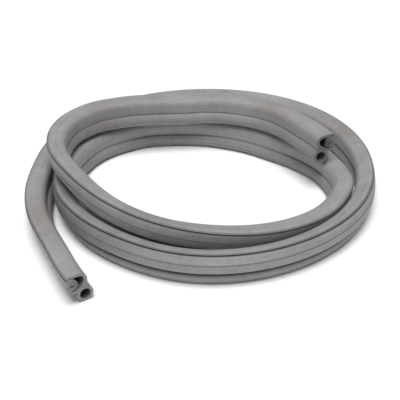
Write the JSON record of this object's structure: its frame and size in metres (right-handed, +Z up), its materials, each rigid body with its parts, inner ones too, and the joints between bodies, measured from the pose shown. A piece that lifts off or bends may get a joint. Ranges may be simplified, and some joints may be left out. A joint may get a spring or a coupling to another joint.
{
  "type": "oven door gasket",
  "caption": "Loosely coiled length of extruded rubber oven door seal with a hooked gripping body and a hollow sealing tube along one corner.",
  "frame": {"origin": "on the plane the coil lies on, under the middle of its bounding box", "axes": "+Z up out of the coil, +Y along the coil's longest extent and away from its ground-level cut end, +X to the right"},
  "size_m": [0.2956, 0.315, 0.0542],
  "materials": {
    "silicone_rubber": "matte"
  },
  "bodies": {
    "root": {"gasket_strip": "silicone_rubber"}
  },
  "joints": []
}
